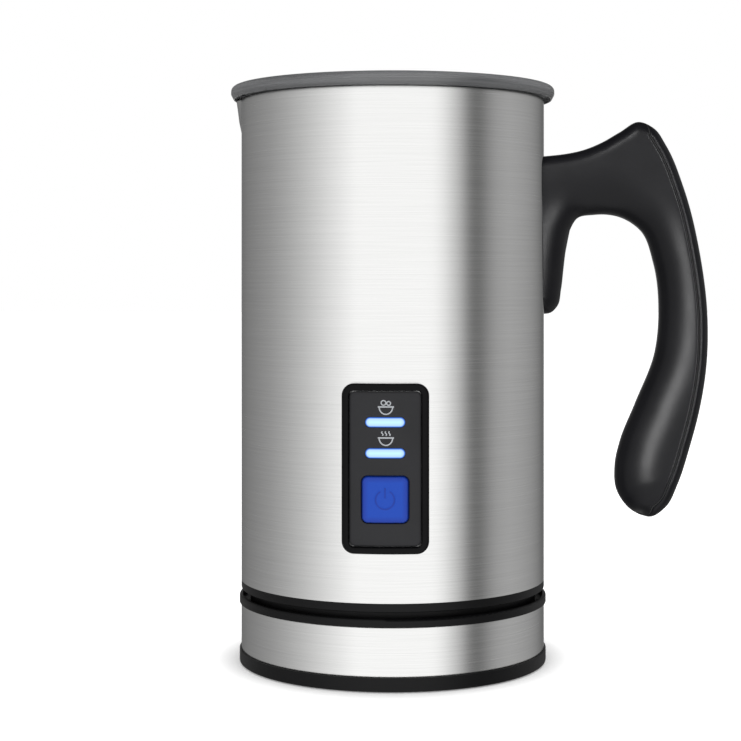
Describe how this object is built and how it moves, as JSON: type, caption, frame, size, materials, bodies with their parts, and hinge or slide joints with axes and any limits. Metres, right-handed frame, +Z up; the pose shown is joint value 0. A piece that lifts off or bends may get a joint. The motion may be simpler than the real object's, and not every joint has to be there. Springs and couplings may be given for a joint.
{
  "type": "milk frother",
  "caption": "Cordless jug that heats and whisks milk with a magnet-driven whisk, with lid, handle and push-button panel, on a round power base.",
  "frame": {"origin": "on the jug's axis, on the surface that the base's rubber foot ring stands on", "axes": "+Z up; +X from the jug's axis towards the handle; -X towards the pouring spout; -Y out of the control panel; +Y out of the cord inlet"},
  "size_m": [0.1596, 0.109, 0.1928],
  "materials": {
    "brushed_steel": "horizontally brushed stainless steel",
    "black_plastic": "black moulded polypropylene",
    "handle_plastic": "satin black moulded ABS",
    "bezel_plastic": "gloss black ABS",
    "fascia_plastic": "smooth dark grey acrylic",
    "window_plastic": "milky polycarbonate light window",
    "button_plastic": "blue translucent ABS",
    "smoked_lid": "smoke-tinted clear plastic",
    "silicone": "soft grey silicone",
    "rubber": "black rubber",
    "nonstick": "dark grey non-stick coating",
    "contact_brass": "bare brass",
    "screw_steel": "zinc-plated steel",
    "plated_steel": "plated sheet steel",
    "cast_aluminium": "cast and drawn aluminium",
    "magnet": "nickel-plated magnet",
    "circuit_board": "green glass-epoxy board",
    "component_plastic": "moulded component cases",
    "led_lens": "white LED packages",
    "filled_nylon": "natural glass-filled nylon",
    "whisk_plastic": "black food-safe nylon",
    "whisk_wire": "bright stainless spring wire"
  },
  "bodies": {
    "base": {"foot_ring": "rubber", "base_bottom": "black_plastic", "base_band": "brushed_steel", "base_top": "black_plastic", "base_connector": "black_plastic", "base_contacts": "contact_brass", "base_screws": "screw_steel", "cord_gland": "rubber"},
    "jug_inlet": {"jug_connector": "black_plastic", "jug_contacts": "contact_brass"},
    "jug": {"bottom_cover": "black_plastic", "bottom_screws": "screw_steel", "chassis": "filled_nylon", "motor_bracket": "plated_steel", "motor_can": "plated_steel", "motor_screws": "screw_steel", "heat_plate": "cast_aluminium", "heater_element": "cast_aluminium", "thermostat": "component_plastic", "thermal_fuse": "cast_aluminium", "power_board": "circuit_board", "board_components": "component_plastic", "power_board_screws": "screw_steel", "outer_shell": "brushed_steel", "inner_vessel": "nonstick", "spindle_pin": "plated_steel", "handle_back": "handle_plastic", "handle_grip": "handle_plastic", "handle_bracket": "plated_steel", "handle_screws": "screw_steel", "panel_bezel": "bezel_plastic", "panel_plate": "fascia_plastic", "window_warm": "window_plastic", "window_froth": "window_plastic", "control_board": "circuit_board", "tact_switch": "component_plastic", "indicator_leds": "led_lens", "board_screws": "screw_steel"},
    "button": {"power_button": "button_plastic", "switch_plunger": "component_plastic"},
    "lid": {"lid": "smoked_lid", "lid_seal": "silicone"},
    "drive_rotor": {"motor_shaft": "plated_steel", "magnet_carrier": "filled_nylon", "drive_magnets": "magnet"},
    "whisk_seat": {"whisk_bush": "whisk_plastic"},
    "whisk": {"whisk_hub": "whisk_plastic", "whisk_magnets": "magnet", "whisk_coil": "whisk_wire"}
  },
  "joints": [
    {"name": "jug_lift", "type": "slide", "parent": "base", "child": "jug_inlet", "axis": [0, 0, 1], "range_m": [0, 0.045]},
    {"name": "jug_swivel", "type": "hinge", "parent": "jug_inlet", "child": "jug", "pos_m": [0, 0, 0.031], "axis": [0, 0, 1], "continuous": true},
    {"name": "button_press", "type": "slide", "parent": "jug", "child": "button", "axis": [0, 1, 0], "range_m": [0, 0.001], "stiffness_N_per_m": 600, "springref_m": -0.0008},
    {"name": "lid_lift", "type": "slide", "parent": "jug", "child": "lid", "axis": [0, 0, 1], "range_m": [0, 0.06]},
    {"name": "rotor_spin", "type": "hinge", "parent": "jug", "child": "drive_rotor", "pos_m": [0, 0, 0.08], "axis": [0, 0, 1], "continuous": true},
    {"name": "whisk_lift", "type": "slide", "parent": "jug", "child": "whisk_seat", "axis": [0, 0, 1], "range_m": [0, 0.06]},
    {"name": "whisk_spin", "type": "hinge", "parent": "whisk_seat", "child": "whisk", "pos_m": [0, 0, 0.095], "axis": [0, 0, 1], "continuous": true}
  ],
  "couplings": [
    {"joint": "whisk_spin", "follows": "rotor_spin", "ratio": 1}
  ]
}
